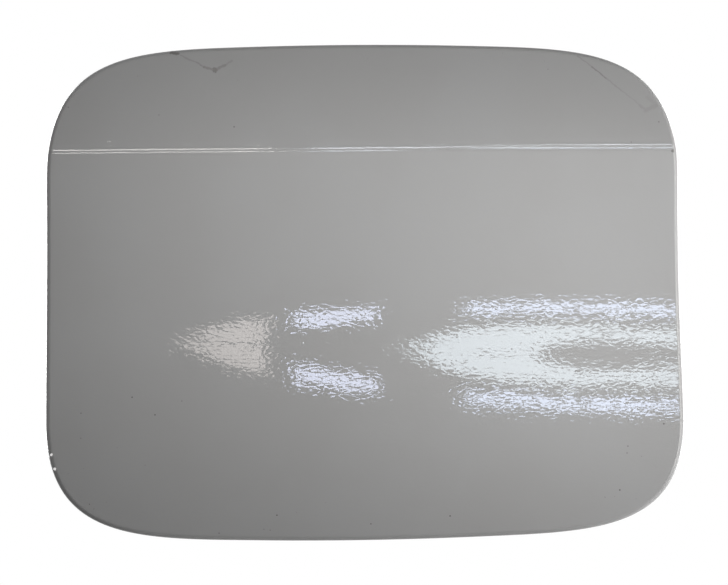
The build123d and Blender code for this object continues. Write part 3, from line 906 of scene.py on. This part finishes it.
def springPath():
    # Base leg, coil and leaf leg in one line
    steps = round(spring["turns"] * spring["turnSteps"])
    points = []
    for index in range(steps + 1):
        angle = 2 * math.pi * spring["turns"] * index / steps
        lift = spring["startHeight"] + spring["spacing"] * angle / (2 * math.pi)
        turn = Vector((math.cos(angle), -math.sin(angle), 0)) * spring["coilRadius"]
        points.append(spring["axis"] + turn + Vector((0, 0, lift)))
    climb = spring["spacing"] / (2 * math.pi)
    endAngle = 2 * math.pi * spring["turns"]
    leaving = Vector((0, -spring["coilRadius"], climb)).normalized()
    arriving = Vector((-math.sin(endAngle), -math.cos(endAngle), 0)) * spring["coilRadius"]
    arriving = (arriving + Vector((0, 0, climb))).normalized()
    footSteps, tipSteps = spring["baseLegSteps"], spring["leafLegSteps"]
    foot = [points[0] - leaving * spring["baseLeg"] * (1 - i / footSteps) for i in range(footSteps)]
    tip = [points[-1] + arriving * spring["leafLeg"] * i / tipSteps for i in range(1, tipSteps + 1)]
    return [point * mm for point in foot + points + tip]


def makeSpring():
    tree, wires = newTree("springWire", {"Wire Radius": "NodeSocketFloat", "Wire Sides": "NodeSocketInt"})
    start = wires["Geometry"]
    curve = start.node("GeometryNodeMeshToCurve", {}, {"Mesh": start})
    ring = start.node(
        "GeometryNodeCurvePrimitiveCircle", {}, {"Resolution": wires["Wire Sides"], "Radius": wires["Wire Radius"]}
    )
    tube = start.node("GeometryNodeCurveToMesh", {}, {"Curve": curve, "Profile Curve": ring, "Fill Caps": True})
    smooth = start.node("GeometryNodeSetShadeSmooth", {}, {"Geometry": tube, "Shade Smooth": True})
    endTree(smooth, makeSpringSteel())
    values = {"Wire Radius": spring["wireRadius"] * mm, "Wire Sides": spring["wireSides"]}
    return grow("torsionSpring", pathMesh("torsionSpring", springPath(), False), tree, values)


torsionSpring = makeSpring()
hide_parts("torsion_spring")
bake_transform(torsionSpring)


# Seam sealer: a brushed bead along the folded edge, painted over
sealer = {
    "inset": 8.7,
    "behind": 2.1,
    "halfWidth": 1.2,
    "height": 0.78,
    "ripple": 0.10,
    "rippleSize": 5.0,
    "cornerSteps": 40,
    "archPoints": 13,
    "colour": grey(0.33, 0.012),
    "dirtColour": grey(0.22, 0.06),
    "dirtSize": 9.0,
    "dirtEdge": (0.5, 0.78),
    "dirtShare": 0.6,
    "dirtRoughness": 0.2,
    "roughness": 0.45,
    "brushSize": 0.8,
    "brushDepth": 0.05,
}


def makeSealerFinish():
    material, shader, place = newFinish("seamSealer", {"IOR": 1.5})
    dirt = noiseAt(place, sealer["dirtSize"], 4.0, 0.6).rise(*sealer["dirtEdge"]) * sealer["dirtShare"]
    brushed = noiseAt(place, sealer["brushSize"], 3.0)
    feed(
        shader,
        {
            "Base Color": dirt.mixed(sealer["colour"], sealer["dirtColour"]),
            "Roughness": dirt * sealer["dirtRoughness"] + sealer["roughness"],
            "Normal": bumpOf(brushed, sealer["brushDepth"] * mm),
        },
    )
    return material


def makeSealer():
    points, ups = [], []
    for spot in outlinePoints(sealer["inset"], sealer["cornerSteps"]):
        point, normal = onSurface(spot.x, spot.y, sealer["behind"])
        points.append(point)
        ups.append(-normal)
    path = pathMesh("sealerBead", points, True)
    addAttribute(path, "beadUp", "FLOAT_VECTOR", ups)
    inputs = {
        "Half Width": "NodeSocketFloat",
        "Bead Height": "NodeSocketFloat",
        "Ripple": "NodeSocketFloat",
        "Ripple Scale": "NodeSocketFloat",
    }
    tree, wires = newTree("sealerBead", inputs)
    start = wires["Geometry"]
    up = start.node("GeometryNodeInputNamedAttribute", {"data_type": "FLOAT_VECTOR"}, {"Name": "beadUp"})
    curve = start.node("GeometryNodeMeshToCurve", {}, {"Mesh": start})
    steered = start.node("GeometryNodeSetCurveNormal", {"mode": "FREE"}, {"Curve": curve, "Normal": up})
    arch = start.node(
        "GeometryNodeCurveArc",
        {"mode": "RADIUS"},
        {"Resolution": sealer["archPoints"], "Radius": 1.0, "Sweep Angle": math.pi, "Connect Center": False},
    )
    closed = start.node("GeometryNodeSetSplineCyclic", {}, {"Geometry": arch, "Cyclic": True})
    size = start.node("ShaderNodeCombineXYZ", {}, {"X": wires["Half Width"], "Y": wires["Bead Height"], "Z": 1.0})
    profile = start.node("GeometryNodeTransform", {}, {"Geometry": closed, "Scale": size})
    bead = start.node("GeometryNodeCurveToMesh", {}, {"Curve": steered, "Profile Curve": profile})
    ripple = start.node("ShaderNodeTexNoise", {}, {"Scale": wires["Ripple Scale"], "Detail": 2.0}) - 0.5
    normal = start.node("GeometryNodeInputNormal")
    push = start.node(
        "ShaderNodeVectorMath", {"operation": "SCALE"}, {"Vector": normal, "Scale": ripple * wires["Ripple"]}
    )
    rippled = start.node("GeometryNodeSetPosition", {}, {"Geometry": bead, "Offset": push})
    smooth = start.node("GeometryNodeSetShadeSmooth", {}, {"Geometry": rippled, "Shade Smooth": True})
    endTree(smooth, makeSealerFinish())
    values = {
        "Half Width": sealer["halfWidth"] * mm,
        "Bead Height": sealer["height"] * mm,
        "Ripple": sealer["ripple"] * mm,
        "Ripple Scale": 1.0 / (sealer["rippleSize"] * mm),
    }
    return grow("sealerBead", path, tree, values)


sealerBead = makeSealer()
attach(sealerBead, "door")
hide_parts("hem_sealer")


# Paint pits: small dark specks of dirt in the outer face
pits = {
    "places": [
        (-81.6, 51.5), (-56.7, 49.1), (-36.1, 45.6), (51.5, 61.4), (82.3, 46.4), (74.2, 40.7), (-78.8, -32.6),
        (-58.6, -33.3), (-51.2, -29.6), (-64.8, -28.4), (-78.9, -39.4), (-75.5, -58.8), (-41.4, -65.9),
        (-25.5, -61.2), (-29.1, -65.0), (-27.4, -65.3), (0.3, -64.0), (22.2, -62.2), (72.2, -43.8), (71.9, -45.7),
        (69.7, -55.9), (65.5, -57.8), (82.5, -37.8), (-76.7, -57.5), (-85.8, 0.9), (-82.6, -2.5),
    ],
    "faintPlaces": [
        (-69.0, -42.2), (-61.4, -47.0), (-82.4, -49.1), (-78.2, -47.7), (-72.1, -57.0), (68.2, -57.7), (76.0, -46.7),
        (-62.5, 60.0), (-35.0, 58.7), (74.3, -58.4), (-20.1, -60.5), (-12.1, -58.0), (1.1, 64.6), (38.9, 66.0),
        (50.6, 63.7), (18.8, -65.8), (30.5, -65.4),
    ],
    "radius": 0.26,
    "spread": (0.75, 1.1),
    "faintRadius": 0.18,
    "fineCount": 45,
    "fineRadius": 0.11,
    "fineSpread": (0.5, 1.2),
    "fineAcross": (-76, 76),
    "fineHeight": (-56, 60),
    "flatness": 0.12,
    "sunk": 0.02,
    "seed": 7,
    "colour": grey(0.07, 0.05),
    "paleColour": grey(0.14, 0.05),
    "mottleSize": 0.3,
    "mottleRoughness": 0.3,
    "roughness": 0.45,
}


def makePits():
    material, shader, place = newFinish("pitDirt", {"IOR": 1.45})
    mottled = noiseAt(place, pits["mottleSize"], 2.0)
    feed(
        shader,
        {
            "Base Color": mottled.mixed(pits["colour"], pits["paleColour"]),
            "Roughness": mottled * pits["mottleRoughness"] + pits["roughness"],
        },
    )
    chance = random.Random(pits["seed"])
    spots = [(across, height, pits["radius"] * chance.uniform(*pits["spread"])) for across, height in pits["places"]]
    spots += [(across, height, pits["faintRadius"]) for across, height in pits["faintPlaces"]]
    for _ in range(pits["fineCount"]):
        across, height = chance.uniform(*pits["fineAcross"]), chance.uniform(*pits["fineHeight"])
        spots.append((across, height, pits["fineRadius"] * chance.uniform(*pits["fineSpread"])))
    points, ups, sizes = [], [], []
    for across, height, radius in spots:
        point, normal = onSurface(across, height, pits["sunk"])
        points.append(point)
        ups.append(normal)
        sizes.append(radius * mm)
    cloud = bpy.data.meshes.new("paintPits")
    cloud.from_pydata([tuple(point) for point in points], [], [])
    addAttribute(cloud, "pitUp", "FLOAT_VECTOR", ups)
    addAttribute(cloud, "pitSize", "FLOAT", sizes)
    tree, wires = newTree("paintPits", {"Flatness": "NodeSocketFloat"})
    start = wires["Geometry"]
    up = start.node("GeometryNodeInputNamedAttribute", {"data_type": "FLOAT_VECTOR"}, {"Name": "pitUp"})
    size = start.node("GeometryNodeInputNamedAttribute", {"data_type": "FLOAT"}, {"Name": "pitSize"})
    ball = start.node("GeometryNodeMeshUVSphere", {}, {"Segments": 10, "Rings": 6, "Radius": 1.0})
    turn = start.node("FunctionNodeAlignRotationToVector", {"axis": "Z"}, {"Vector": up})
    scale = start.node("ShaderNodeCombineXYZ", {}, {"X": size, "Y": size, "Z": size * wires["Flatness"]})
    dots = start.node("GeometryNodeMeshToPoints", {}, {"Mesh": start})
    placed = start.node(
        "GeometryNodeInstanceOnPoints", {}, {"Points": dots, "Instance": ball, "Rotation": turn, "Scale": scale}
    )
    endTree(placed, material)
    return grow("paintPits", cloud, tree, {"Flatness": pits["flatness"]})


paintPits = makePits()
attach(paintPits, "door")
print("spring, sealer and pits made")


# Camera: the photograph's place, a long lens almost straight on
view = {
    "yaw": -3.58,
    "pitch": -0.22,
    "roll": 0.62,
    "distance": 650.0,
    "pixel": 0.27543,
    "frameWidth": 728,
    "shift": (-3.11, -1.36),  # pixels
    "sensor": 36.0,
    "clipStart": 10.0,
}


def makeCamera():
    yaw, pitch, roll = (math.radians(view[key]) for key in ("yaw", "pitch", "roll"))
    outward = Vector((math.sin(yaw) * math.cos(pitch), -math.cos(yaw) * math.cos(pitch), math.sin(pitch)))
    right = Vector((0, 0, 1)).cross(outward).normalized()
    up = outward.cross(right)
    rightTurned = right * math.cos(roll) - up * math.sin(roll)
    upTurned = right * math.sin(roll) + up * math.cos(roll)
    data = bpy.data.cameras.new("camera")
    data.sensor_width = view["sensor"]
    data.lens = view["sensor"] * view["distance"] / (view["frameWidth"] * view["pixel"])
    data.shift_x = view["shift"][0] / view["frameWidth"]
    data.shift_y = view["shift"][1] / view["frameWidth"]
    data.clip_start = view["clipStart"] * mm
    camera = bpy.data.objects.new("camera", data)
    turn = Matrix((rightTurned, upTurned, outward)).transposed().to_4x4()
    camera.matrix_world = Matrix.Translation((panelForm["centre"] + outward * view["distance"]) * mm) @ turn
    scene.collection.objects.link(camera)
    scene.camera = camera


makeCamera()


# Lamps: two soft ones close to the front, a key at the right, one above and two for the back. Places are from the
# panel's centre, in metres, and a lamp that isn't mirrored lights the object but shows in no reflection
lamps = {
    "frontRight": {
        "from": (0.0778, -0.085, 0.0039),
        "aim": (0.0778, 0.0, 0.0039),
        "size": (0.10, 0.06),
        "power": 0.062,
        "mirrored": False,
    },
    "frontLeft": {
        "from": (-0.0348, -0.085, 0.0227),
        "aim": (-0.0348, 0.0, 0.0227),
        "size": (0.10, 0.06),
        "power": 0.037,
        "mirrored": False,
    },
    "key": {
        "from": (0.67, -0.094, -0.181),
        "aim": (0.0, 0.0, 0.0),
        "size": (0.35, 0.35),
        "power": 5.1,
        "mirrored": False,
    },
    "top": {
        "from": (0.0, -0.3, 1.2),
        "aim": (0.0, 0.0, 0.0),
        "size": (0.8, 0.8),
        "power": 3.2,
        "mirrored": False,
    },
    "backRight": {
        "from": (0.9, 1.07, 0.12),
        "aim": (0.0, 0.0, 0.0),
        "size": (0.9, 0.9),
        "power": 11.5,
        "mirrored": True,
    },
    "backLeft": {
        "from": (-0.9, 1.2, 0.2),
        "aim": (0.0, 0.0, 0.0),
        "size": (0.9, 0.9),
        "power": 20.0,
        "mirrored": True,
    },
}

# Light panels: bright shapes that only show as reflections. All stand on a wall behind the camera, with corners given
# across and up, but the side panel, which stands at the right, with corners given along the wall and up
lightWalls = {"front": -2500.0, "right": 1500.0}
lightPanels = {
    "warm": {
        "corners": [(3, 372), (3, 558), (-200, 558), (-170, 526), (-87, 438)],
        "colour": (1.0, 0.935, 0.90, 1.0),
        "strength": 6.8,
    },
    "warmHigh": {
        "corners": [(-20, 615), (-20, 965), (-560, 965), (-560, 630)],
        "colour": (1.0, 0.98, 0.95, 1.0),
        "strength": 12.0,
    },
    "cool": {
        "corners": [(62, 434), (62, 342), (148, 317), (240, 296), (240, 364), (148, 402)],
        "colour": (0.73, 0.79, 1.0, 1.0),
        "strength": 14.5,
    },
    "coolHigh": {
        "corners": [(84, 965), (84, 605), (290, 605), (470, 880), (960, 770), (960, 965)],
        "colour": (0.86, 0.91, 1.0, 1.0),
        "strength": 12.0,
    },
    "strip": {
        "corners": [
            (428, 303), (428, 247), (497, 246), (608, 232), (702, 226), (797, 222), (900, 232),
            (960, 236), (960, 281), (900, 281), (797, 282), (702, 280), (608, 288), (497, 301),
        ],
        "colour": (0.70, 0.79, 1.0, 1.0),
        "strength": 15.3,
    },
    "large": {
        "corners": [
            (276, 556), (330, 515), (405, 424), (478, 390), (522, 374), (614, 363), (708, 358), (806, 371),
            (908, 368), (960, 368), (960, 465), (911, 460), (763, 440), (715, 446), (624, 487), (600, 545),
        ],
        "colour": (0.83, 0.93, 1.0, 1.0),
        "strength": 11.2,
    },
    "side": {
        "corners": [(-2300, -950), (-900, -950), (-900, 750), (-2300, 750)],
        "colour": (1.0, 1.0, 0.97, 1.0),
        "strength": 5.0,
    },
}


def makeLamp(name, values):
    data = bpy.data.lights.new(name + "Lamp", "AREA")
    data.shape = "RECTANGLE"
    data.size, data.size_y = values["size"]
    data.energy = values["power"]
    lamp = bpy.data.objects.new(name + "Lamp", data)
    lamp.location = panelForm["centre"] * mm + Vector(values["from"])
    away = Vector(values["from"]) - Vector(values["aim"])
    lamp.rotation_euler = away.to_track_quat("Z", "Y").to_euler()
    lamp.visible_camera = False
    lamp.visible_glossy = values["mirrored"]
    scene.collection.objects.link(lamp)


def makeLightPanel(name, values):
    material = bpy.data.materials.new(name + "Glow")
    material.use_nodes = True
    tree = material.node_tree
    tree.nodes.clear()
    glow = Wire(tree).node("ShaderNodeEmission", {}, {"Color": values["colour"], "Strength": values["strength"]})
    tree.links.new(glow.socket, tree.nodes.new("ShaderNodeOutputMaterial").inputs["Surface"])
    mesh = bpy.data.meshes.new(name)
    if name == "sidePanel":
        corners = [Vector((lightWalls["right"], along, up)) * mm for along, up in values["corners"]]
    else:
        corners = [Vector((along, lightWalls["front"], up)) * mm for along, up in values["corners"]]
    mesh.from_pydata(corners, [], [list(range(len(corners)))])
    mesh.materials.append(material)
    panel = bpy.data.objects.new(name, mesh)
    panel.visible_camera = False
    panel.visible_diffuse = False
    scene.collection.objects.link(panel)


for name, values in lamps.items():
    makeLamp(name, values)
for name, values in lightPanels.items():
    makeLightPanel(name + "Panel", values)


# Floor and room, in metres: a pale floor that fades into a white room
room = {
    "floorHeight": -0.45,
    "floorRadius": 2.2,
    "floorSides": 64,
    "floorColour": grey(0.3),
    "pale": 0.82,
    "fade": (0.35, 0.95),  # shares of the radius
    "soft": 0.035,
}


def seenRays(wire):
    # 1 for the rays that show the background, directly or in a reflection or glass
    rays = wire.node("ShaderNodeLightPath").socket.node.outputs
    seen = Wire(wire.tree, rays["Is Camera Ray"]).larger(Wire(wire.tree, rays["Is Glossy Ray"]))
    return seen.larger(Wire(wire.tree, rays["Is Transmission Ray"]))


def makeWorld():
    world = bpy.data.worlds.new("room")
    world.use_nodes = True
    tree = world.node_tree
    tree.nodes.clear()
    wire = Wire(tree)
    white = wire.node("ShaderNodeBackground", {}, {"Color": grey(1.0), "Strength": 1.0})
    soft = wire.node("ShaderNodeBackground", {}, {"Color": grey(1.0), "Strength": room["soft"]})
    mixed = wire.node("ShaderNodeMixShader", {}, {0: seenRays(wire), 1: soft, 2: white})
    tree.links.new(mixed.socket, tree.nodes.new("ShaderNodeOutputWorld").inputs["Surface"])
    scene.world = world


def makeFloor():
    material = bpy.data.materials.new("paleFloor")
    material.use_nodes = True
    tree = material.node_tree
    tree.nodes.clear()
    wire = Wire(tree)
    x, y, _ = split(wire.node("ShaderNodeTexCoord", output="Object"))
    away = (x * x + y * y) ** 0.5
    radius, sides = room["floorRadius"], room["floorSides"]
    fade = away.rise(radius * room["fade"][0], radius * room["fade"][1])
    matt = wire.node("ShaderNodeBsdfDiffuse", {}, {"Color": room["floorColour"]})
    glow = wire.node("ShaderNodeEmission", {}, {"Color": grey(1.0), "Strength": 1.0})
    share = seenRays(wire) * (fade * (1 - room["pale"]) + room["pale"])
    mixed = wire.node("ShaderNodeMixShader", {}, {0: share, 1: matt, 2: glow})
    tree.links.new(mixed.socket, tree.nodes.new("ShaderNodeOutputMaterial").inputs["Surface"])
    angles = [2 * math.pi * i / sides for i in range(sides)]
    rim = [(radius * math.cos(angle), radius * math.sin(angle), room["floorHeight"]) for angle in angles]
    mesh = bpy.data.meshes.new("floor")
    mesh.from_pydata(rim, [], [list(range(sides))])
    mesh.materials.append(material)
    floor = bpy.data.objects.new("floor", mesh)
    scene.collection.objects.link(floor)


makeWorld()
makeFloor()
print("camera, lamps and floor set")
